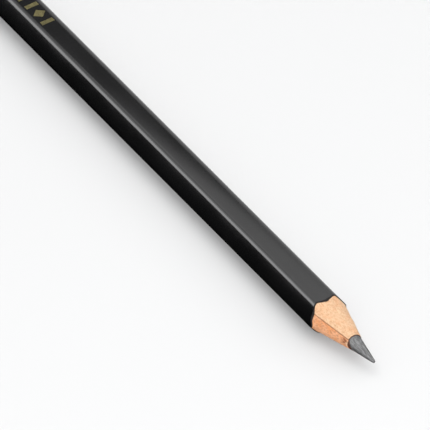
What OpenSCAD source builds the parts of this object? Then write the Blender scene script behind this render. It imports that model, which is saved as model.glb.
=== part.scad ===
// A sharpened hexagonal graphite pencil, lying on one of its flats along X, with its point towards +X.
// The origin is on the surface that it lies on, below the middle of its length. Units are millimetres.

/* [Body] */
// Length from the tip of the lead to the crown of the rear end
pencil_l = 175; // [150:1:190]
// Width across two opposite flats, over the lacquer
across_flats = 7; // [6.8:0.1:7.6]
// Radius of the six long edges, over the lacquer
edge_r = 1.1; // [0.6:0.05:1.2]

/* [Coats] */
// Thickness of the black lacquer
lacquer_t = 0.1; // [0.06:0.01:0.12]
// Thickness of the filler coat between the lacquer and the wood
undercoat_t = 0.06; // [0.05:0.01:0.12]
// Length of the dipped rear end along the sides
dip_l = 6; // [3:0.5:12]
// Thickness of the dip over the end grain, at the middle of the end
dip_end_t = 0.7; // [0.6:0.05:1.2]
// Height of the crown of the rear end above its corners
crown_h = 0.4; // [0.2:0.05:0.5]

/* [Core] */
// Diameter of the graphite lead
lead_d = 2.8; // [2.8:0.05:3.2]
// Thickness of the glue round the lead
lead_glue_t = 0.08; // [0.05:0.01:0.12]
// How far the lead lies off the middle of the pencil, across the slat joint
lead_off = 0.16; // [0:0.02:0.2]
// Thickness of the glue between the two slats
joint_t = 0.08; // [0.05:0.01:0.12]
// How far the slat joint lies off the middle of the pencil
joint_off = 0.35; // [0:0.05:0.6]
// Turn of the slat joint about the pencil's length
joint_turn = 60; // [0:60:300]

/* [Point] */
// Radius of the worn tip of the lead
tip_r = 0.28; // [0.15:0.01:0.3]
// Length of the bare graphite
graphite_l = 6.5; // [5:0.1:6.8]
// Half angle of the graphite cone
graphite_angle = 9.5; // [8:0.5:9.5]
// Height of the step where the wood stands proud of the graphite
wood_step = 0.08; // [0.04:0.01:0.12]
// Half angle of the bare wood cone
wood_angle = 13.2; // [12:0.1:15]
// Radius at which the straight wood cone turns into its shoulder
shoulder_r = 3.3; // [3:0.05:3.3]

/* [Foil marks] */
// Distance from the tip to the middle of the nearest mark
marks_from_tip = 108; // [60:1:112]
// Number of marks in the row
mark_count = 12; // [3:1:12]
// Distance from one mark to the next
mark_pitch = 2.7; // [2.6:0.1:2.8]
// Width of the row of marks, across the flat
mark_h = 2.4; // [1.5:0.1:2.5]
// Width of one bar
bar_w = 1; // [0.4:0.05:1.2]
// Thickness of the foil
foil_t = 0.03; // [0.02:0.01:0.04]
// Depth of the pressed pockets that the foil lies in
pocket_t = 0.05; // [0.05:0.01:0.05]

/* [Hidden] */
$fn = 96;

lacquer_colour = [0.07, 0.07, 0.08];
dip_colour = [0.05, 0.05, 0.055];
undercoat_colour = [0.42, 0.42, 0.42];
upper_wood_colour = [0.90, 0.72, 0.52];
lower_wood_colour = [0.84, 0.60, 0.40];
glue_colour = [0.45, 0.27, 0.14];
graphite_colour = [0.33, 0.33, 0.35];
foil_colour = [0.72, 0.62, 0.26];

flat_r = across_flats / 2;
edge_centre_r = (flat_r - edge_r) / cos(30);
corner_r = edge_centre_r + edge_r;
coats_t = lacquer_t + undercoat_t;
lead_r = lead_d / 2;
groove_r = lead_r + lead_glue_t;
beyond = 3 * across_flats;

crown_arc_r = (corner_r * corner_r + crown_h * crown_h) / (2 * crown_h);
crown_arc_angle = asin(corner_r / crown_arc_r);
// The crown is flat at its middle, and domed from there to just past the corners.
crown_flat_angle = crown_arc_angle / 3;
crown_end_angle = 1.2 * crown_arc_angle;
crown_arc = [
    for (a = [0 : 6])
        let (turn = crown_flat_angle + (crown_end_angle - crown_flat_angle) * a / 6)
            crown_arc_r * [sin(turn), cos(crown_flat_angle) - cos(turn)]
];
crown_outline = concat([[0, 0]], crown_arc, [[beyond, crown_arc[6][1]], [beyond, dip_l + 1], [0, dip_l + 1]]);

// The sharpened surface is one turned outline: distances are measured back from the tip.
tip_tangent = tip_r * (1 - sin(graphite_angle));
tip_tangent_r = tip_r * cos(graphite_angle);
graphite_r = tip_tangent_r + (graphite_l - tip_tangent) * tan(graphite_angle);
wood_r = graphite_r + wood_step;
// The wood starts with a curved lip. Each step is a distance back from the graphite and a radius gained.
lip_steps = [[0.25, 0.09], [0.6, 0.18], [1.1, 0.3]];
lip_end = lip_steps[len(lip_steps) - 1];
shoulder = graphite_l + lip_end[0] + (shoulder_r - wood_r - lip_end[1]) / tan(wood_angle);
// Distances back from the end of the straight cone at which the shoulder has a step
shoulder_steps = [0.35, 0.6, 0.8, 0.95, 1.1, 1.3];
shoulder_l = 1.5;

tip_arc = [for (a = [90 : -9 : graphite_angle]) [tip_r * cos(a), pencil_l - tip_r + tip_r * sin(a)]];
lip_outline = [for (s = lip_steps) [wood_r + s[1], pencil_l - graphite_l - s[0]]];
shoulder_outline = [for (s = shoulder_steps) [shoulder_r + shoulder_rise(s), pencil_l - shoulder - s]];
sharpened_outline = concat(
    tip_arc,
    [[graphite_r, pencil_l - graphite_l], [wood_r, pencil_l - graphite_l]],
    lip_outline,
    [[shoulder_r, pencil_l - shoulder]],
    shoulder_outline,
    [[beyond, pencil_l - shoulder - shoulder_l], [beyond, -1], [0, -1]]
);

// Radius that the shoulder has gained at this distance: nearly straight at first, then steep
function shoulder_rise(s) = 0.08 * s + 0.23 * pow(s, 3);

// Stands the pencil's own axis, which is Z in every module below, down along +X.
module laid_down() {
    translate([-pencil_l / 2, 0, flat_r])
        rotate([0, 90, 0])
            children();
}

// A hexagon with rounded corners, its flats this far inside the finished surface
module rounded_hexagon(inset) {
    r = edge_r - inset;
    polygon([
        for (corner = [30 : 60 : 330])
            for (side = [-30, 30])
                edge_centre_r * [cos(corner), sin(corner)] + r * [cos(corner + side), sin(corner + side)]
    ]);
    for (corner = [30 : 60 : 330])
        rotate(corner)
            translate([edge_centre_r, 0])
                circle(r);
}

module hexagonal_bar(inset, from, to) {
    translate([0, 0, from])
        linear_extrude(to - from)
            rounded_hexagon(inset);
}

// Everything that sharpening leaves
module sharpened() {
    intersection() {
        rotate_extrude()
            polygon(sharpened_outline);
        children();
    }
}

// The side of the slat joint above the given distance from the middle
module above_joint(distance) {
    rotate(joint_turn)
        translate([-beyond, distance, -1])
            cube([2 * beyond, beyond, pencil_l + 2]);
}

module along_lead(r) {
    rotate(joint_turn)
        translate([0, lead_off, dip_end_t])
            cylinder(r = r, h = pencil_l - dip_end_t);
}

module bare_wood() {
    hexagonal_bar(coats_t, dip_end_t, pencil_l - lead_r);
}

module graphite_lead() {
    color(graphite_colour)
        laid_down()
            sharpened()
                along_lead(lead_r);
}

module lead_glue() {
    color(glue_colour)
        laid_down()
            sharpened()
                difference() {
                    along_lead(groove_r);
                    along_lead(lead_r);
                }
}

module upper_slat() {
    color(upper_wood_colour)
        laid_down()
            sharpened()
                difference() {
                    intersection() {
                        bare_wood();
                        above_joint(joint_off + joint_t / 2);
                    }
                    along_lead(groove_r);
                }
}

module lower_slat() {
    color(lower_wood_colour)
        laid_down()
            sharpened()
                difference() {
                    bare_wood();
                    above_joint(joint_off - joint_t / 2);
                    along_lead(groove_r);
                }
}

// The film of glue on one side of the lead: side is 1 or -1
module joint_glue(side) {
    color(glue_colour)
        laid_down()
            sharpened()
                difference() {
                    intersection() {
                        bare_wood();
                        rotate(joint_turn)
                            translate([side * beyond / 2, joint_off, pencil_l / 2])
                                cube([beyond, joint_t, pencil_l], center = true);
                    }
                    along_lead(groove_r);
                }
}

module left_joint_glue() {
    joint_glue(1);
}

module right_joint_glue() {
    joint_glue(-1);
}

module undercoat() {
    color(undercoat_colour)
        laid_down()
            sharpened()
                difference() {
                    hexagonal_bar(lacquer_t, dip_end_t, pencil_l);
                    hexagonal_bar(coats_t, dip_end_t - 1, pencil_l + 1);
                }
}

// One mark of the row, as its outline: two bars, then a lozenge, and so on
module mark(i) {
    if (i % 3 == 1)
        rotate(45)
            square(mark_h / sqrt(2), center = true);
    else
        square([mark_h, bar_w], center = true);
}

// The whole row, as a slab of the given thickness from the given depth below the top flat
module mark_row(depth, thickness) {
    translate([-flat_r + depth, 0, 0])
        rotate([0, -90, 180])
            linear_extrude(thickness)
                for (i = [0 : mark_count - 1])
                    translate([pencil_l - marks_from_tip - i * mark_pitch, 0])
                        rotate(90)
                            mark(i);
}

module foil_marks() {
    color(foil_colour)
        laid_down()
            mark_row(pocket_t - foil_t, foil_t);
}

module black_lacquer() {
    color(lacquer_colour)
        laid_down()
            difference() {
                sharpened()
                    difference() {
                        hexagonal_bar(0, dip_l, pencil_l);
                        hexagonal_bar(lacquer_t, dip_l - 1, pencil_l + 1);
                    }
                translate([-1, 0, 0])
                    mark_row(0, pocket_t + 1);
            }
}

module end_dip() {
    color(dip_colour)
        laid_down()
            difference() {
                intersection() {
                    hexagonal_bar(0, -1, dip_l);
                    rotate_extrude()
                        polygon(crown_outline);
                }
                hexagonal_bar(lacquer_t, dip_end_t, dip_l + 1);
            }
}

graphite_lead();
upper_slat();
lower_slat();
left_joint_glue();
right_joint_glue();
lead_glue();
undercoat();
black_lacquer();
end_dip();
foil_marks();
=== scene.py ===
import math

import bpy
import numpy as np
from mathutils import Matrix, Vector


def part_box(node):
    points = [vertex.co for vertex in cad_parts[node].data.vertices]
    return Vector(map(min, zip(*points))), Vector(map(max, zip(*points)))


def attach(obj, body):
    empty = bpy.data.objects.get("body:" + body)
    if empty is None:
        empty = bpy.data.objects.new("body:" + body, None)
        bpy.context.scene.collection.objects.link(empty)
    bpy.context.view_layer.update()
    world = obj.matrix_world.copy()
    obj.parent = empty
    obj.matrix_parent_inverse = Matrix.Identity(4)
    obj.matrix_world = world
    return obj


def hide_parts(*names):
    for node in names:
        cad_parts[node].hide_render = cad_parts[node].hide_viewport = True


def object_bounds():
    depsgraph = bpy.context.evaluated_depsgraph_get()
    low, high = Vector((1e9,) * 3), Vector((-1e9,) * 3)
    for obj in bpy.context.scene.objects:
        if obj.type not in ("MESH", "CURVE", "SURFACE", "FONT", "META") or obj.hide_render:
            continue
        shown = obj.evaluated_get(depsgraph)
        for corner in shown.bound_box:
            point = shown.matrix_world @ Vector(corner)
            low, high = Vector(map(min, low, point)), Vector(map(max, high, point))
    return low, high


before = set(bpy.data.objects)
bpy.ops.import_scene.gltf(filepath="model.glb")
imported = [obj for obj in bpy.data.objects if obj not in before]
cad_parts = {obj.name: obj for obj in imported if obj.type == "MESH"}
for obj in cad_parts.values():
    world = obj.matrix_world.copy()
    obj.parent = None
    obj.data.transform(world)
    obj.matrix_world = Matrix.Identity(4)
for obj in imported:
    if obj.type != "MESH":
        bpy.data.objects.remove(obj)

# A sharpened black hexagonal pencil. It lies along X on one of its flats, with its point towards +X.
# Every length is in metres. Distances "behind the tip" run back from the tip along -X, and an angle round
# the pencil is measured about X from +Y (0 degrees) over the top (90 degrees).

MM = 0.001

cad_low, cad_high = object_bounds()
foil_low, foil_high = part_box("foil_marks")
dip_low, dip_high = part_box("end_dip")

TIP_X = cad_high.x
AXIS_Z = (cad_low.z + cad_high.z) / 2
PENCIL_L = cad_high.x - cad_low.x
FLAT_R = (cad_high.z - cad_low.z) / 2
DIP_L = dip_high.x - dip_low.x

# The finished surface: the radius of its long edges, and the large one that its crowned flats bend round
EDGE_R = 1.1 * MM
FLAT_BEND_R = 25 * MM

# The coats: the lacquer alone, and the lacquer with the filler below it
LACQUER_T = 0.1 * MM
COATS_T = 0.16 * MM
# Paint keeps a crisp edge wherever two of its faces meet at more degrees than this
PAINT_SHARP = 9

# The dipped end: the height of its dome, and its thickness behind the wood
CROWN_H = 0.4 * MM
DIP_END_T = 0.7 * MM

# The core: JOINT_ANGLE is square to the joint between the slats, and both the joint and the lead lie a
# little off the pencil's axis in that direction
LEAD_R = 1.4 * MM
GROOVE_R = 1.48 * MM
LEAD_OFF = 0.16 * MM
JOINT_OFF = 0.35 * MM
JOINT_T = 0.08 * MM
JOINT_ANGLE = math.radians(60)

# The point, back from its tip: rounded graphite, its straight cone, then wood with a curved lip and a
# shoulder
TIP_R = 0.28 * MM
GRAPHITE_L = 6.5 * MM
GRAPHITE_ANGLE = math.radians(9.5)
GRAPHITE_SLOPE = math.tan(GRAPHITE_ANGLE)
WOOD_STEP = 0.08 * MM
WOOD_SLOPE = math.tan(math.radians(13.2))
LIP_L = 1.1 * MM
LIP_RISE = 0.3 * MM
SHOULDER_R = 3.3 * MM
SHOULDER_L = 1.5 * MM

# Where the sharpener's cut differs from a true cone, as distances along the pencil. It reaches less far
# back at the ridge and further back at the bite. Their places and widths are in degrees round the pencil.
OVAL_TOP = 0.15 * MM
OVAL_SIDES = 0.12 * MM
OVAL_SHIFT = 0.09 * MM
RIDGE_L = 1.1 * MM
RIDGE_DEGREES = 178
RIDGE_WIDTH = 12
BITE_L = 1.5 * MM
BITE_DEGREES = 222
BITE_WIDTH = 22
CUT_RAGGED = 0.06 * MM

# The front of the wood. The lower slat runs on over the graphite in a thin tongue, which has its full
# length everywhere but within TONGUE_SIDE of a joint.
UPPER_START = 0.12 * MM
LOWER_START = 0.1 * MM
TONGUE_L = 0.85 * MM
TONGUE_T = 0.05 * MM
TONGUE_SIDE = math.radians(48)

# The torn hollow in the lower slat, and the low step beside the upper slat's edge
SCAR_A = 7.2 * MM
SCAR_DEGREES = 160
SCAR_DEPTH = 0.07 * MM
STEP_H = 0.1 * MM
STEP_DEGREES = 30

# The rounding of the wood beside the glue joint, and the least thickness left in wood and glue
SEAM_DROP = 0.022 * MM
SEAM_WIDTH = 0.06 * MM
LEAST_T = 0.03 * MM

TIP_TANGENT_A = TIP_R * (1 - math.sin(GRAPHITE_ANGLE))
TIP_TANGENT_R = TIP_R * math.cos(GRAPHITE_ANGLE)
GRAPHITE_R = TIP_TANGENT_R + (GRAPHITE_L - TIP_TANGENT_A) * GRAPHITE_SLOPE
WOOD_R = GRAPHITE_R + WOOD_STEP
LIP_A = GRAPHITE_L + LIP_L
LIP_R = WOOD_R + LIP_RISE
SHOULDER_A = LIP_A + (SHOULDER_R - LIP_R) / WOOD_SLOPE


# ---------------------------------------------------------------- shapes round the pencil

def smooth_noise(x, y, seed, octaves=3):
    """Noise of about -1 to 1, smooth over distances of 1 in x and y: waves in random directions."""
    waves = 7
    fade = 1.7
    usual_peak = 4.5
    rng = np.random.default_rng(seed)
    x, y = np.broadcast_arrays(np.asarray(x, float), np.asarray(y, float))
    total = np.zeros(x.shape)
    for octave in range(octaves):
        for _ in range(waves):
            turn, phase = rng.uniform(0, 2 * math.pi, 2)
            pitch = 2 ** octave * rng.uniform(1.8, 4.2)
            along = x * math.cos(turn) + y * math.sin(turn)
            total += np.sin(pitch * along + phase) / fade ** octave
    return total / usual_peak


def ring_noise(angle, pitch, seed):
    """Noise that closes on itself round the pencil; pitch is about how many bumps it has in one turn."""
    circle_r = pitch / (2 * math.pi)
    return smooth_noise(circle_r * np.cos(angle), circle_r * np.sin(angle), seed)


def edge_arc(inset):
    """Centre distance, radius and end of each long edge's arc; the end is an angle about the axis."""
    arc_r = EDGE_R - inset
    from_bend = FLAT_BEND_R - EDGE_R
    half_turn = math.asin(0.5 * (FLAT_BEND_R - FLAT_R) / from_bend)
    bend_off = (FLAT_R - FLAT_BEND_R) * math.cos(math.radians(30))
    centre_r = bend_off + from_bend * math.cos(half_turn)
    end = math.atan2(arc_r * math.sin(half_turn), centre_r + arc_r * math.cos(half_turn))
    return centre_r, arc_r, end


def hexagon_r(angle, inset):
    """Distance from the axis to the rounded hexagon that lies inset below the finished surface."""
    centre_r, arc_r, end = edge_arc(inset)
    from_corner = (angle + math.pi / 6) % (math.pi / 3) - math.pi / 6
    across = np.minimum(np.abs(centre_r * np.sin(from_corner)), arc_r)
    on_arc = centre_r * np.cos(from_corner) + np.sqrt(arc_r ** 2 - across ** 2)
    from_middle = math.pi / 6 - np.abs(from_corner)
    bend_centre = FLAT_BEND_R - FLAT_R
    bend_r = FLAT_BEND_R - inset
    reach = np.sqrt(bend_r ** 2 - (bend_centre * np.sin(from_middle)) ** 2)
    on_flat = reach - bend_centre * np.cos(from_middle)
    return np.where(np.abs(from_corner) < end, on_arc, on_flat)


def round_r(angle, radius):
    """Distance from the axis to a circle of this radius round the middle of the lead."""
    turn = angle - JOINT_ANGLE
    return LEAD_OFF * np.cos(turn) + np.sqrt(radius ** 2 - (LEAD_OFF * np.sin(turn)) ** 2)


def graphite_cone_r(a):
    """Radius of the ground graphite this far behind the tip, without its rounded tip."""
    return TIP_TANGENT_R + (a - TIP_TANGENT_A) * GRAPHITE_SLOPE


def lip_rise(s):
    """How far the curved lip of the wood has risen, this far behind the graphite."""
    straight = s * WOOD_SLOPE
    return straight + (LIP_RISE - LIP_L * WOOD_SLOPE) * (1 - (1 - s / LIP_L) ** 2.4)


def shoulder_rise(s):
    """How far the shoulder has risen, this far behind the end of the straight cone."""
    return 0.08 * s + 0.23 * MM * (s / MM) ** 3


# The outline of the cut wood: along the graphite, up the lip, and after the straight cone up the shoulder
TONGUE_S = np.array([-3, -0.01]) * MM
LIP_S = np.linspace(0, LIP_L, 16)
SHOULDER_S = np.linspace(0, SHOULDER_L, 60)
CUT_A = np.concatenate([GRAPHITE_L + TONGUE_S, GRAPHITE_L + LIP_S, SHOULDER_A + SHOULDER_S])
CUT_R = np.concatenate([
    graphite_cone_r(GRAPHITE_L + TONGUE_S) + TONGUE_T,
    WOOD_R + lip_rise(LIP_S),
    SHOULDER_R + shoulder_rise(SHOULDER_S),
])


def off_angle(angle, degrees):
    """How far an angle is from this many degrees, going round the shorter way."""
    return (angle - math.radians(degrees) + math.pi) % (2 * math.pi) - math.pi


def hill(distance, width):
    """1 at no distance, and nearly 0 from twice the width on."""
    return np.exp(-(distance / width) ** 2)


def wander(angle):
    """How far back the sharpener cut at this angle, compared with a true cone about the pencil's axis."""
    oval = OVAL_TOP * np.sin(angle) - OVAL_SHIFT - OVAL_SIDES * np.cos(angle) ** 2
    ridge = RIDGE_L * hill(off_angle(angle, RIDGE_DEGREES), math.radians(RIDGE_WIDTH))
    bite = BITE_L * hill(off_angle(angle, BITE_DEGREES), math.radians(BITE_WIDTH))
    ragged = CUT_RAGGED * ring_noise(angle, 9, 4) + CUT_RAGGED * ring_noise(angle, 60, 5)
    return oval - ridge + bite + ragged


def cut_r(a, angle):
    """Radius of the sharpened wood this far behind the tip."""
    share = np.clip((a - GRAPHITE_L) / (SHOULDER_A - GRAPHITE_L), 0, 1)
    return np.interp(a - share * wander(angle), CUT_A, CUT_R)


def cut_a(r, angle):
    """How far behind the tip the sharpener reached this radius."""
    a = np.interp(r, CUT_R, CUT_A)
    share = np.clip((a - GRAPHITE_L) / (SHOULDER_A - GRAPHITE_L), 0, 1)
    return a + share * wander(angle)


def hexagon_angles(per_corner, per_flat):
    """Angles round the rounded hexagon, close together at its corners."""
    end = edge_arc(0)[2]
    corner = np.linspace(-end, end, per_corner + 1)
    flat = np.linspace(end, math.pi / 3 - end, per_flat + 2)[1:-1]
    return np.concatenate([k * math.pi / 3 + part for k in range(6) for part in (corner, flat)])


def place(a, r, angle):
    """Points in the frame from distances behind the tip, radii and angles."""
    a, r, angle = np.broadcast_arrays(a, r, angle)
    return np.stack([TIP_X - a, r * np.cos(angle), AXIS_Z + r * np.sin(angle)], axis=-1)


# ---------------------------------------------------------------- meshes

def quad(a, b, c, d):
    """Four-sided faces from four equal arrays of vertex numbers."""
    return np.stack([a, b, c, d], axis=-1).reshape(-1, 4)


def grid_faces(index, closed):
    """Quads over a grid of vertex numbers, rings by columns; closed joins the last column to the first."""
    if closed:
        index = np.concatenate([index, index[:, :1]], axis=1)
    return quad(index[:-1, :-1], index[1:, :-1], index[1:, 1:], index[:-1, 1:])


def make_mesh(name, points, faces, sharp_angle=35):
    """A smooth object that keeps an edge sharp where its faces meet at more than sharp_angle degrees."""
    mesh = bpy.data.meshes.new(name)
    mesh.from_pydata(points.reshape(-1, 3).tolist(), [], [list(map(int, face)) for face in faces])
    mesh.validate()
    mesh.polygons.foreach_set("use_smooth", [True] * len(mesh.polygons))
    mesh.set_sharp_from_angle(angle=math.radians(sharp_angle))
    mesh.update()
    piece = bpy.data.objects.new(name, mesh)
    bpy.context.scene.collection.objects.link(piece)
    return piece


def shell(name, outer, inner, closed=True, sharp_angle=35):
    """A closed wall between an outer and an inner grid of points, whose rings run towards the tip."""
    rings, columns = outer.shape[:2]
    out = np.arange(rings * columns).reshape(rings, columns)
    into = out + rings * columns
    faces = [grid_faces(out, closed), grid_faces(into, closed)[:, ::-1]]
    kept = None if closed else -1
    for outside, inside, front in ((out[0], into[0], False), (out[-1], into[-1], True)):
        next_out = np.roll(outside, -1)[:kept]
        next_in = np.roll(inside, -1)[:kept]
        strip = quad(outside[:kept], inside[:kept], next_in, next_out)
        faces.append(strip if front else strip[:, ::-1])
    if not closed:
        faces.append(quad(out[:-1, 0], into[:-1, 0], into[1:, 0], out[1:, 0]))
        faces.append(quad(out[:-1, -1], out[1:, -1], into[1:, -1], into[:-1, -1]))
    points = np.concatenate([outer.reshape(-1, 3), inner.reshape(-1, 3)])
    return make_mesh(name, points, np.concatenate(faces), sharp_angle)


def rod(name, grid, sharp_angle):
    """A closed solid over a grid of rings, with one flat face on its first and on its last ring."""
    rings, columns = grid.shape[:2]
    index = np.arange(rings * columns).reshape(rings, columns)
    faces = [*grid_faces(index, True), index[0], index[-1][::-1]]
    return make_mesh(name, grid, faces, sharp_angle)


def finish_piece(piece, material, node):
    """Gives a piece its material and its body, and hides the CAD part that it stands for."""
    piece.data.materials.append(material)
    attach(piece, "root")
    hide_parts(node)


# ---------------------------------------------------------------- the pieces

def back_rings(front_a, rear_a, count):
    """Rings from rear_a to a front that changes with the angle; closer together towards the front."""
    share = np.linspace(0, 1, count)[:, None] ** 0.6
    return rear_a + (front_a[None, :] - rear_a) * share


def paint_shell(name, inset, thickness, rear_a, ragged, seed):
    """One coat of paint round the hexagon, cut off by the sharpener at its front."""
    rings = 40
    angle = hexagon_angles(per_corner=10, per_flat=26)
    chips = ragged * np.clip(ring_noise(angle, 110, seed), 0, 1) ** 2
    outer_r = hexagon_r(angle, inset)
    inner_r = hexagon_r(angle, inset + thickness)
    outer_a = back_rings(cut_a(outer_r, angle) + chips, rear_a, rings)
    inner_a = back_rings(cut_a(inner_r, angle) + chips / 2, rear_a, rings)
    outer = place(outer_a, outer_r, angle)
    inner = place(inner_a, inner_r, angle)
    return shell(name, outer, inner, sharp_angle=PAINT_SHARP)


def make_lacquer(material):
    coat = paint_shell("lacquer_coat", 0, LACQUER_T, PENCIL_L - DIP_L, 0.12 * MM, 21)
    press_pockets(coat)
    finish_piece(coat, material, "black_lacquer")


def press_pockets(coat):
    """Cuts the pockets that the foil marks lie in, down to the underside of the foil."""
    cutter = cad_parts["foil_marks"].copy()
    cutter.data = cutter.data.copy()
    middle_z = (foil_low.z + foil_high.z) / 2
    clear_of_coat = 0.5 * MM
    for point in cutter.data.vertices:
        if point.co.z > middle_z:
            point.co.z += clear_of_coat
    bpy.context.scene.collection.objects.link(cutter)
    cut = coat.modifiers.new("pockets", "BOOLEAN")
    cut.operation = "DIFFERENCE"
    cut.solver = "EXACT"
    cut.object = cutter
    evaluated = coat.evaluated_get(bpy.context.evaluated_depsgraph_get())
    pressed = bpy.data.meshes.new_from_object(evaluated)
    pressed.set_sharp_from_angle(angle=math.radians(PAINT_SHARP))
    coat.modifiers.clear()
    coat.data = pressed
    bpy.data.objects.remove(cutter)


def make_undercoat(material):
    filler_t = COATS_T - LACQUER_T
    coat = paint_shell("filler_coat", LACQUER_T, filler_t, PENCIL_L - DIP_END_T, 0.05 * MM, 22)
    finish_piece(coat, material, "undercoat")


def wood_relief(a, angle, height, seed):
    """Fibres and tool marks of the bare wood, as a height over the true cone."""
    middle_r_mm = 3
    round_mm = middle_r_mm * angle
    along_mm = a / MM
    fibres = smooth_noise(round_mm / 0.17, along_mm / 1.1, seed, octaves=2)
    tufts = smooth_noise(round_mm / 0.5, along_mm / 0.7, seed + 1, octaves=2)
    return height * (0.6 * fibres + 0.5 * tufts)


def wood_end(angle, side):
    """How far behind the tip a slat's wood starts: side is 1 for the upper slat and -1 for the lower one."""
    ragged = 0.06 * MM * ring_noise(angle, 16, 31)
    if side > 0:
        return GRAPHITE_L + UPPER_START + ragged
    joint_turn = math.acos(JOINT_OFF / WOOD_R)
    past_joint = (angle - JOINT_ANGLE - joint_turn) % (2 * math.pi)
    from_joint = np.minimum(past_joint, 2 * (math.pi - joint_turn) - past_joint)
    to_middle = np.clip(from_joint / TONGUE_SIDE, 0, 1)
    return GRAPHITE_L + LOWER_START - TONGUE_L * to_middle ** 0.75 + ragged


def seam_drop(turn, r):
    """How far the wood is rounded off beside the joint; turn runs from 1 at one joint to -1 at the other."""
    from_seam = (1 - np.abs(turn)) * 1.5 * r
    return SEAM_DROP * hill(from_seam, SEAM_WIDTH)


def settle(angle_at, radius_at, angle, rounds):
    """Where a face whose angle depends on the radius meets a surface whose radius depends on the angle."""
    for _ in range(rounds):
        radius = radius_at(angle)
        angle = angle_at(radius)
    return radius, angle


def make_slat(name, side, material, node, relief):
    """Half of the wood: side is 1 for the slat above the joint and -1 for the one below it."""
    columns = 190
    cone_rings = 110
    crowding = 0.35
    middle_angle = JOINT_ANGLE + (0 if side > 0 else math.pi)
    face_d = JOINT_OFF + side * JOINT_T / 2
    # The columns crowd towards the joints on both sides
    even = np.linspace(1, -1, columns)
    turn = np.sin(even * math.pi / 2) * crowding + even * (1 - crowding)

    def outer_angle(r):
        return middle_angle + turn * np.arccos(side * face_d / r)

    def flats_r(at):
        return hexagon_r(at, COATS_T)

    wood_r, angle = settle(outer_angle, flats_r, outer_angle(flats_r(JOINT_ANGLE)), 12)
    front_a = cut_a(wood_r, angle)

    groove = middle_angle + turn * math.acos(side * (face_d - LEAD_OFF) / GROOVE_R)
    groove_y = LEAD_OFF * math.cos(JOINT_ANGLE) + GROOVE_R * np.cos(groove)
    groove_z = LEAD_OFF * math.sin(JOINT_ANGLE) + GROOVE_R * np.sin(groove)
    groove_r = np.hypot(groove_y, groove_z)
    groove_angle = np.unwrap(np.arctan2(groove_z, groove_y), period=2 * math.pi)
    end_a = wood_end(groove_angle, side)

    rear_a = PENCIL_L - DIP_END_T
    rings_a = [rear_a - (rear_a - front_a) * share for share in (0, 0.3, 0.6, 0.9)]
    outer = [place(ring, wood_r, angle) for ring in rings_a]
    inner = [place(ring, groove_r, groove_angle) for ring in rings_a]
    for share in np.linspace(0, 1, cone_rings):
        ring = front_a + (end_a - front_a) * share

        def cone_r(at):
            return np.minimum(cut_r(ring, at), wood_r + 1 * MM)

        ring_r, ring_angle = settle(outer_angle, cone_r, angle, 6)
        fade = min(1, 6 * share)
        height = relief(ring, ring_angle) * fade - seam_drop(turn, ring_r) * fade
        outer.append(place(ring, ring_r + height, ring_angle))
        inner.append(place(ring, np.minimum(groove_r, ring_r + height - LEAST_T), groove_angle))
    slat = shell(name, np.array(outer), np.array(inner), closed=False)
    # The wood throws no colour on the floor
    slat.visible_diffuse = False
    finish_piece(slat, material, node)


def make_joint_glue(name, side, material, node):
    """The film of glue between the slats on one side of the lead, sunk a little below the cut wood."""
    cone_rings = 60
    sunk = 0.015 * MM
    d = JOINT_OFF + np.linspace(-0.5, 0.5, 3) * JOINT_T
    groove_r = np.hypot(np.sqrt(GROOVE_R ** 2 - (d - LEAD_OFF) ** 2), d)

    def joint_angle(r):
        return JOINT_ANGLE + side * np.arccos(d / r)

    def flats_r(at):
        return hexagon_r(at, COATS_T)

    wood_r, angle = settle(joint_angle, flats_r, joint_angle(flats_r(JOINT_ANGLE)), 12)
    front_a = cut_a(wood_r, angle)
    end_a = GRAPHITE_L + LOWER_START
    rear_a = PENCIL_L - DIP_END_T
    rings_a = [rear_a + (front_a - rear_a) * share for share in (0, 0.5, 0.9)]
    outer = [place(ring, wood_r, angle) for ring in rings_a]
    inner = [place(ring, groove_r, joint_angle(groove_r)) for ring in rings_a]
    for share in np.linspace(0, 1, cone_rings):
        ring = front_a + (end_a - front_a) * share

        def cone_r(at):
            return cut_r(ring, at)

        ring_r = settle(joint_angle, cone_r, angle, 6)[0] - sunk * min(1, 8 * share)
        inner_r = np.minimum(groove_r, ring_r - LEAST_T)
        outer.append(place(ring, ring_r, joint_angle(ring_r)))
        inner.append(place(ring, inner_r, joint_angle(inner_r)))
    outer = np.array(outer)
    inner = np.array(inner)
    if side > 0:
        outer = outer[:, ::-1]
        inner = inner[:, ::-1]
    film = shell(name, outer, inner, closed=False)
    finish_piece(film, material, node)


def upper_relief(a, angle):
    """The upper slat is smoother, with a low step beside its edge: a hollow behind a hump."""
    beside = hill(off_angle(angle, STEP_DEGREES), math.radians(14))
    hollow = hill(a - 12 * MM, 0.8 * MM)
    hump = hill(a - 10 * MM, 0.9 * MM)
    return wood_relief(a, angle, 0.012 * MM, 51) + STEP_H * (hump - hollow) * beside


def lower_relief(a, angle):
    """The lower slat is rougher, and has a torn hollow where its tongue leaves the joint."""
    along = (a - SCAR_A) / (0.45 * MM)
    beside = off_angle(angle, SCAR_DEGREES) / math.radians(11)
    torn = np.exp(-along ** 2 - beside ** 2)
    return wood_relief(a, angle, 0.022 * MM, 61) - SCAR_DEPTH * torn


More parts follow.
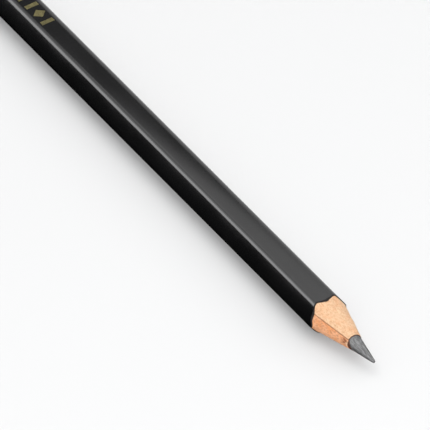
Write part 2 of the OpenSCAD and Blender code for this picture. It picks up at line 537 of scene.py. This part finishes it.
def make_lead_glue_and_gap_shade(material):
    """The sleeve of glue round the lead, with a thin dark bead of it left along the front of the wood: the
    bead is glue and also painted shade for the gap between the wood and the graphite.
    """
    # The bead is coloured dark: glue, and painted shade in the gap along the front of the wood
    gap_shade_bead_l = 0.12 * MM
    gap_shade_bead_h = 0.07 * MM
    below_graphite = 0.05 * MM
    angle = np.linspace(0, 2 * math.pi, 180, endpoint=False)
    front_a = np.minimum(wood_end(angle, 1), wood_end(angle, -1)) - gap_shade_bead_l
    rings_a = np.concatenate([
        back_rings(front_a + 3 * MM, PENCIL_L - DIP_END_T, 8),
        front_a + np.linspace(2.9 * MM, 0, 30)[:, None],
    ])
    ground_r = graphite_cone_r(rings_a)
    outer = place(rings_a, np.minimum(round_r(angle, GROOVE_R), ground_r + gap_shade_bead_h), angle)
    inner = place(rings_a, np.minimum(round_r(angle, LEAD_R), ground_r - below_graphite), angle)
    glue = shell("lead_glue_and_gap_shade_film", outer, inner)
    finish_piece(glue, material, "lead_glue")


def make_lead(material):
    """The lead, ground to a rounded point that the grinding left slightly faceted."""
    angle = np.linspace(0, 2 * math.pi, 144, endpoint=False)
    tip = TIP_R * (1 - np.cos(np.linspace(0.05, math.pi / 2 - GRAPHITE_ANGLE, 14)))
    cone = np.linspace(TIP_TANGENT_A, GRAPHITE_L + 1.2 * MM, 90)[1:]
    rear = np.linspace(GRAPHITE_L + 2 * MM, PENCIL_L - DIP_END_T, 8)
    a = np.concatenate([tip, cone, rear])[::-1, None]
    on_tip = np.sqrt(np.clip(TIP_R ** 2 - (TIP_R - np.minimum(a, TIP_R)) ** 2, 0, None))
    turned = np.where(a < TIP_TANGENT_A, on_tip, graphite_cone_r(a))
    facets = 0.03 * MM * ring_noise(angle, 11, 41) + 0.014 * MM * ring_noise(angle, 36, 42)
    ground = turned + facets * np.clip(a / (2 * MM), 0.15, 1)
    r = np.minimum(ground, round_r(angle, LEAD_R))
    lead = rod("lead", place(a, r, angle), sharp_angle=60)
    finish_piece(lead, material, "graphite_lead")


def make_dip(material):
    """The dipped rear end: a cup with a slanted rim, a domed end and a soft edge between them."""
    rim = 0.05 * MM
    soft = 0.35 * MM
    middle = 0.02
    angle = hexagon_angles(per_corner=10, per_flat=14)
    full_r = hexagon_r(angle, 0)
    inner_r = hexagon_r(angle, LACQUER_T)
    front_a = PENCIL_L - DIP_L
    dome_a = PENCIL_L - CROWN_H
    wood_end_a = PENCIL_L - DIP_END_T

    rows = []
    for turn in np.linspace(0, math.pi / 2, 5):
        slant = rim * (1 - math.sin(turn))
        rows.append((front_a + slant, full_r - slant))
    for a in np.linspace(front_a + 4 * rim, dome_a - soft, 10):
        rows.append((a, full_r))
    for turn in np.linspace(0, math.pi / 2, 9)[1:-1]:
        rows.append((dome_a - soft * (1 - math.sin(turn)), full_r - soft * (1 - math.cos(turn))))
    for share in np.linspace(1, middle, 22):
        rows.append((PENCIL_L - CROWN_H * share ** 2, (full_r - soft) * share))
    inner_rows = [(wood_end_a, inner_r * middle), (wood_end_a, inner_r), (front_a + rim, inner_r)]

    outer = np.array([place(a, r, angle) for a, r in rows])[::-1]
    inner = np.array([place(a, r, angle) for a, r in inner_rows])
    points = np.concatenate([outer, inner])
    index = np.arange(len(points) * len(angle)).reshape(len(points), len(angle))
    outer_index = index[: len(outer)]
    inner_index = index[len(outer):]
    faces = [
        *grid_faces(outer_index, True),
        *grid_faces(inner_index, True)[:, ::-1],
        *grid_faces(np.stack([outer_index[-1], inner_index[-1]]), True),
        outer_index[0],
        inner_index[0][::-1],
    ]
    dip = make_mesh("rear_dip", points, faces, 60)
    finish_piece(dip, material, "end_dip")


# ---------------------------------------------------------------- materials

# What the glue leaves in the wood beside it
GLUE_BROWN = (0.40, 0.14, 0.05)


def new_material(name):
    """A material, its node tree and its surface shader."""
    material = bpy.data.materials.new(name)
    material.use_nodes = True
    tree = material.node_tree
    return material, tree, tree.nodes["Principled BSDF"]


def node(tree, kind, inputs=None, **settings):
    """A new node; each input is a value, or another node's output that is linked to it."""
    made = tree.nodes.new(kind)
    for key, value in settings.items():
        setattr(made, key, value)
    for key, value in (inputs or {}).items():
        if isinstance(value, bpy.types.NodeSocket):
            tree.links.new(value, made.inputs[key])
        else:
            made.inputs[key].default_value = value
    return made


def coordinates(tree, stretch):
    """The frame's own coordinates in millimetres, divided by stretch along each axis."""
    where = node(tree, "ShaderNodeTexCoord")
    scale = [1000 / part for part in stretch]
    return node(tree, "ShaderNodeMapping", {"Vector": where.outputs["Object"], "Scale": scale}).outputs[0]


def noise(tree, stretch, detail=3.0, roughness=0.55):
    """Noise whose bumps are about as many millimetres long on each axis as stretch says."""
    at = coordinates(tree, stretch)
    inputs = {"Vector": at, "Scale": 1.0, "Detail": detail, "Roughness": roughness}
    return node(tree, "ShaderNodeTexNoise", inputs).outputs["Fac"]


def ramp(tree, value, stops):
    """A colour that goes from the first stop to the second; a stop is a position and a colour."""
    made = node(tree, "ShaderNodeValToRGB", {"Fac": value})
    for point, (position, colour) in zip(made.color_ramp.elements, stops):
        point.position = position
        point.color = (*colour, 1)
    return made.outputs["Color"]


def mix(tree, share, first, second):
    """The first colour where share is 0 and the second where it is 1."""
    made = node(tree, "ShaderNodeMix", data_type="RGBA")
    for socket, value in ((made.inputs["Factor"], share), (made.inputs[6], first), (made.inputs[7], second)):
        if isinstance(value, bpy.types.NodeSocket):
            tree.links.new(value, socket)
        else:
            socket.default_value = (*value, 1) if isinstance(value, tuple) else value
    return made.outputs[2]


def spread(tree, value, low, high, to_low, to_high):
    """Carries the range from low to high over to another one, and holds its ends."""
    inputs = {"Value": value, "From Min": low, "From Max": high, "To Min": to_low, "To Max": to_high}
    return node(tree, "ShaderNodeMapRange", inputs).outputs[0]


def times(tree, first, second):
    return node(tree, "ShaderNodeMath", {0: first, 1: second}, operation="MULTIPLY").outputs[0]


def bump(tree, height, strength, distance, below=None):
    """A normal tilted by a height that is distance metres at 1, on top of the bump below if there is one."""
    inputs = {"Height": height, "Strength": strength, "Distance": distance}
    if below is not None:
        inputs["Normal"] = below
    return node(tree, "ShaderNodeBump", inputs).outputs[0]


def wire(tree, surface, colour, roughness, normal):
    """Joins what varies over a surface to its shader."""
    tree.links.new(colour, surface.inputs["Base Color"])
    tree.links.new(roughness, surface.inputs["Roughness"])
    tree.links.new(normal, surface.inputs["Normal"])


def lacquer_material(name, colour, roughness, wear):
    """Satin paint with faint waves and dust; wear is how much of the dust's colour shows."""
    dust_colour = (0.03, 0.03, 0.031)
    cut_colour = (0.005, 0.004, 0.004)
    cut_roughness = 0.8
    material, tree, surface = new_material(name)
    waves = noise(tree, (16, 3.2, 3.2), detail=1.0)
    grain = noise(tree, (6, 0.35, 0.35), detail=2.0)
    cloud = noise(tree, (14, 5, 5), detail=2.0)
    dust = noise(tree, (0.16, 0.16, 0.16), detail=1.0)
    specks = spread(tree, dust, 0.74, 0.8, 0.0, wear)
    darker = tuple(0.8 * part for part in colour)
    lighter = tuple(1.25 * part for part in colour)
    top = mix(tree, specks, mix(tree, cloud, darker, lighter), dust_colour)
    # Where the sharpener cut the paint, its normal leans towards the tip and the cut is dull
    normal = node(tree, "ShaderNodeNewGeometry").outputs["True Normal"]
    lean = node(tree, "ShaderNodeSeparateXYZ", {0: normal}).outputs["X"]
    cut = spread(tree, lean, 0.08, 0.15, 0.0, 1.0)
    glossy = spread(tree, cloud, 0.3, 0.7, roughness * 0.86, roughness * 1.16)
    dull = times(tree, cut, cut_roughness)
    rougher = node(tree, "ShaderNodeMath", {0: glossy, 1: dull}, operation="MAXIMUM").outputs[0]
    fine = bump(tree, grain, 0.05, 0.02 * MM)
    uneven = bump(tree, waves, 0.05, 0.2 * MM, fine)
    wire(tree, surface, mix(tree, cut, top, cut_colour), rougher, uneven)
    surface.inputs["IOR"].default_value = 1.5
    return material


def filler_material():
    """Chalky filler, seen only where the sharpener cut it."""
    material, tree, surface = new_material("filler_coat")
    patches = noise(tree, (0.4, 0.25, 0.25))
    colour = ramp(tree, patches, [(0.3, (0.014, 0.012, 0.011)), (0.75, (0.055, 0.042, 0.034))])
    roughness = spread(tree, patches, 0.3, 0.7, 0.6, 0.85)
    wire(tree, surface, colour, roughness, bump(tree, patches, 0.5, 0.05 * MM))
    surface.inputs["Specular IOR Level"].default_value = 0.1
    return material


def seam_stain(tree):
    """1 beside the glue joint, falling to 0 away from the joint's plane."""
    where = coordinates(tree, (1, 1, 1))
    across = (0, math.cos(JOINT_ANGLE), math.sin(JOINT_ANGLE))
    joint_at = (AXIS_Z * math.sin(JOINT_ANGLE) + JOINT_OFF) / MM
    reach = node(tree, "ShaderNodeVectorMath", {0: where, 1: across}, operation="DOT_PRODUCT")
    off = node(tree, "ShaderNodeMath", {0: reach.outputs["Value"], 1: joint_at}, operation="SUBTRACT")
    gap = node(tree, "ShaderNodeMath", {0: off.outputs[0]}, operation="ABSOLUTE").outputs[0]
    return spread(tree, gap, 0.04, 0.13, 1.0, 0.0)


def near(tree, point, inner, outer):
    """1 within inner millimetres of a point, falling to 0 at outer millimetres."""
    where = coordinates(tree, (1, 1, 1))
    centre = tuple(part / MM for part in point)
    gap = node(tree, "ShaderNodeVectorMath", {0: where, 1: centre}, operation="DISTANCE").outputs["Value"]
    return spread(tree, gap, inner, outer, 1.0, 0.0)


def scar_stain_and_shade(tree, base, streaks):
    """Colours the torn hollow in the lower slat dark, as stained wood and as painted shade in the split, and
    the lip in front of it pale.
    """
    lip_colour = (0.95, 0.66, 0.44)
    scar_and_shade_colour = (0.27, 0.085, 0.03)
    lip_at = place(SCAR_A - 0.75 * MM, 1.5 * MM, math.radians(SCAR_DEGREES + 6))
    scar_at = place(SCAR_A, 1.65 * MM, math.radians(SCAR_DEGREES))
    base = mix(tree, times(tree, near(tree, lip_at, 0.2, 0.7), 0.7), base, lip_colour)
    # The dark in the hollow is the torn wood's stain and also painted shade in the split
    torn = times(tree, near(tree, scar_at, 0.1, 1.0), spread(tree, streaks, 0.4, 0.6, 0.1, 1.3))
    return mix(tree, torn, base, scar_and_shade_colour)


def wood_material(name, pale, deep, dark, warm, relief, scarred):
    """Bare softwood: streaks from deep to pale, warm patches, and dark pores and specks."""
    material, tree, surface = new_material(name)
    streaks = noise(tree, (3.2, 0.22, 0.22), detail=4.0, roughness=0.6)
    bands = noise(tree, (14, 1.1, 1.1), detail=2.0)
    fibres = noise(tree, (0.9, 0.09, 0.09), detail=3.0, roughness=0.6)
    mottle = noise(tree, (0.5, 0.3, 0.3), detail=5.0, roughness=0.75)
    patches = noise(tree, (2.0, 1.1, 1.1), detail=2.0)
    pores = noise(tree, (0.8, 0.12, 0.12), detail=2.0)
    base = ramp(tree, streaks, [(0.36, deep), (0.6, pale)])
    base = mix(tree, spread(tree, bands, 0.35, 0.7, 0.0, 0.4), base, deep)
    base = mix(tree, spread(tree, patches, 0.48, 0.66, 0.0, 0.8), base, warm)
    base = mix(tree, spread(tree, mottle, 0.46, 0.66, 0.0, 0.6), base, dark)
    base = mix(tree, spread(tree, pores, 0.56, 0.68, 0.0, 0.7), base, dark)
    soaked = times(tree, seam_stain(tree), spread(tree, mottle, 0.2, 0.6, 0.35, 0.9))
    base = mix(tree, soaked, base, GLUE_BROWN)
    if scarred:
        base = scar_stain_and_shade(tree, base, streaks)
    roughness = spread(tree, fibres, 0.2, 0.8, 0.62, 0.85)
    rough = bump(tree, mottle, 0.5 * relief, 0.16 * MM)
    wire(tree, surface, base, roughness, bump(tree, fibres, 0.7 * relief, 0.11 * MM, rough))
    surface.inputs["Specular IOR Level"].default_value = 0.25
    return material


def glue_material(name, dark, pale):
    """Dried glue in darker and paler patches."""
    material, tree, surface = new_material(name)
    patches = noise(tree, (0.9, 0.2, 0.2))
    colour = ramp(tree, patches, [(0.35, dark), (0.65, pale)])
    roughness = spread(tree, patches, 0.3, 0.7, 0.45, 0.75)
    wire(tree, surface, colour, roughness, bump(tree, patches, 0.4, 0.04 * MM))
    return material


def graphite_material():
    """Ground graphite with fine scratches, broad darker streaks and small pits."""
    streak_colour = (0.11, 0.11, 0.111)
    pit_colour = (0.05, 0.05, 0.052)
    material, tree, surface = new_material("ground_graphite")
    scratches = noise(tree, (3.0, 0.13, 0.13), detail=3.0, roughness=0.65)
    broad = noise(tree, (3.0, 0.35, 0.35), detail=2.0)
    pits = noise(tree, (0.12, 0.09, 0.09), detail=2.0)
    tone = ramp(tree, scratches, [(0.36, (0.09, 0.09, 0.091)), (0.62, (0.33, 0.33, 0.331))])
    tone = mix(tree, spread(tree, broad, 0.42, 0.62, 0.0, 0.6), tone, streak_colour)
    tone = mix(tree, spread(tree, pits, 0.68, 0.8, 0.0, 0.6), tone, pit_colour)
    roughness = spread(tree, broad, 0.3, 0.7, 0.36, 0.5)
    fine = bump(tree, pits, 0.25, 0.03 * MM)
    wire(tree, surface, tone, roughness, bump(tree, scratches, 0.45, 0.05 * MM, fine))
    surface.inputs["Metallic"].default_value = 0.4
    return material


def foil_material():
    """Gold foil, worn through to the lacquer in places."""
    worn_colour = (0.02, 0.018, 0.012)
    material, tree, surface = new_material("worn_foil")
    worn = noise(tree, (0.25, 0.2, 0.2), detail=3.0)
    tone = noise(tree, (1.5, 0.8, 0.8))
    gold = ramp(tree, tone, [(0.3, (0.10, 0.085, 0.032)), (0.7, (0.19, 0.165, 0.068))])
    colour = mix(tree, spread(tree, worn, 0.58, 0.68, 0.0, 0.9), gold, worn_colour)
    roughness = spread(tree, worn, 0.3, 0.7, 0.35, 0.6)
    wire(tree, surface, colour, roughness, bump(tree, worn, 0.3, 0.03 * MM))
    surface.inputs["Metallic"].default_value = 0.55
    return material


# ---------------------------------------------------------------- camera, floor and light

def look_along(azimuth, elevation):
    """Unit vector from what is looked at towards the eye; azimuth 0 looks along +Y and 90 along -X."""
    turn, rise = math.radians(azimuth), math.radians(elevation)
    return Vector((math.sin(turn) * math.cos(rise), -math.cos(turn) * math.cos(rise), math.sin(rise)))


def facing(back, roll=0.0):
    """Rotation of a camera or lamp that looks along -back, leaning to its right by roll."""
    level = Vector((0, 0, 1)) if abs(back.z) < 0.999 else Vector((1, 0, 0))
    side = (-back).cross(level).normalized()
    level_up = side.cross(-back)
    lean = math.radians(roll)
    up = math.cos(lean) * level_up + math.sin(lean) * side
    right = up.cross(back)
    return Matrix((right, up, back)).transposed()


def make_camera():
    """The camera stands far off with a long lens, so that the pencil's long edges look parallel."""
    distance = 3.0
    aim = Vector((TIP_X - 49.483 * MM, -1.677 * MM, AXIS_Z))
    back = look_along(azimuth=63.168, elevation=39.43)
    data = bpy.data.cameras.new("camera")
    data.sensor_width = 36.0
    data.lens = 1479.6
    camera = bpy.data.objects.new("camera", data)
    bpy.context.scene.collection.objects.link(camera)
    camera.matrix_world = Matrix.Translation(aim + distance * back) @ facing(back, roll=6.439).to_4x4()
    bpy.context.scene.camera = camera


def make_floor():
    """A pale matte floor, left out of every mirror reflection."""
    bpy.ops.mesh.primitive_plane_add(size=12)
    floor = bpy.context.object
    floor.name = "floor"
    material, _, surface = new_material("white_floor")
    surface.inputs["Base Color"].default_value = (0.785, 0.781, 0.778, 1)
    surface.inputs["Roughness"].default_value = 0.9
    surface.inputs["Specular IOR Level"].default_value = 0.0
    floor.data.materials.append(material)
    floor.visible_glossy = False


def make_softbox(name, centre, back, width, height, radiance):
    """A soft white rectangular lamp at centre that shines along -back."""
    data = bpy.data.lights.new(name, "AREA")
    data.shape = "RECTANGLE"
    data.size = width
    data.size_y = height
    data.energy = radiance * math.pi * width * height
    lamp = bpy.data.objects.new(name, data)
    lamp.matrix_world = Matrix.Translation(centre) @ facing(back).to_4x4()
    bpy.context.scene.collection.objects.link(lamp)
    return lamp


def softbox_towards(name, azimuth, elevation, distance, side, radiance):
    """A square softbox that lies in this direction from the front part of the pencil and faces it."""
    behind_tip = 30 * MM
    back = look_along(azimuth, elevation)
    centre = Vector((TIP_X - behind_tip, 0, AXIS_Z)) + distance * back
    return make_softbox(name, centre, back, side, side, radiance)


def level_softbox(name, low, high, z, back, radiance):
    """A level softbox between two corners given in metres."""
    centre = Vector(((low[0] + high[0]) / 2, (low[1] + high[1]) / 2, z))
    return make_softbox(name, centre, back, high[1] - low[1], high[0] - low[0], radiance)


def ceiling_panel(name, low, high, z, radiance):
    """A level softbox above the pencil that faces down."""
    return level_softbox(name, low, high, z, Vector((0, 0, 1)), radiance)


def floor_glow(name, low, high, radiance):
    """A level softbox on the floor that faces up, itself unseen: it is mirrored in place of the floor."""
    lamp = level_softbox(name, low, high, 0.2 * MM, Vector((0, 0, -1)), radiance)
    lamp.visible_camera = False
    return lamp


def make_world():
    """Even, faintly blue light from all round, left out of every mirror reflection."""
    world = bpy.data.worlds.new("studio")
    world.use_nodes = True
    background = world.node_tree.nodes["Background"]
    background.inputs["Color"].default_value = (0.94, 0.97, 1.0, 1)
    background.inputs["Strength"].default_value = 0.34
    world.cycles_visibility.glossy = False
    bpy.context.scene.world = world


def light_scene():
    make_world()
    make_floor()
    # These show in mirror reflections only, above all the lacquer's: strips for its long edges, panels for
    # its flats, and a bright floor beside it
    mirrored = [
        softbox_towards("edge_strip", azimuth=311, elevation=18.5, distance=1.2, side=0.54, radiance=4.8),
        ceiling_panel("beside_strip", (-1.1, -0.8), (-0.45, -0.2), z=0.7, radiance=2.2),
        ceiling_panel("left_panel", (-1.05, -0.2), (-0.4, 0.12), z=0.7, radiance=1.0),
        ceiling_panel("middle_panel", (-0.345, 0.0), (-0.1, 0.33), z=0.35, radiance=1.5),
        ceiling_panel("rear_panel", (-0.62, 0.0), (-0.35, 0.33), z=0.35, radiance=0.22),
        ceiling_panel("right_panel", (-1.3, 0.56), (-0.5, 1.0), z=0.7, radiance=1.1),
        softbox_towards("right_strip", azimuth=224, elevation=11, distance=1.2, side=0.5, radiance=1.0),
        floor_glow("beside_right", (-0.3, 0.006), (0.08, 0.3), radiance=0.6),
    ]
    for lamp in mirrored:
        lamp.visible_diffuse = False
    # These light the floor, the wood and the graphite
    softbox_towards("key", azimuth=70, elevation=82, distance=1.3, side=1.1, radiance=2.0)
    softbox_towards("point_side", azimuth=100, elevation=40, distance=1.3, side=0.9, radiance=1.2)
    # The fills throw no shadow
    fills = [
        softbox_towards("front_fill", azimuth=20, elevation=40, distance=1.3, side=1.1, radiance=2.35),
        softbox_towards("back_fill", azimuth=165, elevation=45, distance=1.3, side=1.1, radiance=1.3),
    ]
    for lamp in fills:
        lamp.data.use_shadow = False
    bpy.context.scene.view_settings.view_transform = "Standard"


# ---------------------------------------------------------------- the scene

make_camera()
light_scene()

black_lacquer = lacquer_material("black_lacquer", (0.0032, 0.0032, 0.0035), roughness=0.13, wear=0.25)
glossy_dip = lacquer_material("glossy_dip", (0.003, 0.003, 0.0033), roughness=0.12, wear=0.1)
upper_wood = wood_material(
    "upper_wood",
    pale=(0.885, 0.625, 0.395),
    deep=(0.83, 0.52, 0.32),
    dark=(0.60, 0.28, 0.13),
    warm=(0.88, 0.51, 0.29),
    relief=1.2,
    scarred=False,
)
lower_wood = wood_material(
    "lower_wood",
    pale=(0.94, 0.51, 0.29),
    deep=(0.86, 0.42, 0.22),
    dark=(0.45, 0.17, 0.07),
    warm=(0.88, 0.36, 0.14),
    relief=1.3,
    scarred=True,
)
joint_glue = glue_material("joint_glue", dark=(0.20, 0.07, 0.025), pale=(0.50, 0.23, 0.11))
# The lead glue is much darker than the joint glue: along the front of the wood it is glue and also painted
# shade for the gap between wood and graphite
lead_glue = glue_material("lead_glue", dark=(0.045, 0.017, 0.009), pale=(0.15, 0.055, 0.025))

make_lacquer(black_lacquer)
make_undercoat(filler_material())
make_slat("upper_wood_half", 1, upper_wood, "upper_slat", upper_relief)
make_slat("lower_wood_half", -1, lower_wood, "lower_slat", lower_relief)
make_joint_glue("left_glue_film", 1, joint_glue, "left_joint_glue")
make_joint_glue("right_glue_film", -1, joint_glue, "right_joint_glue")
make_lead_glue_and_gap_shade(lead_glue)
make_lead(graphite_material())
make_dip(glossy_dip)
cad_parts["foil_marks"].data.materials.clear()
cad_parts["foil_marks"].data.materials.append(foil_material())
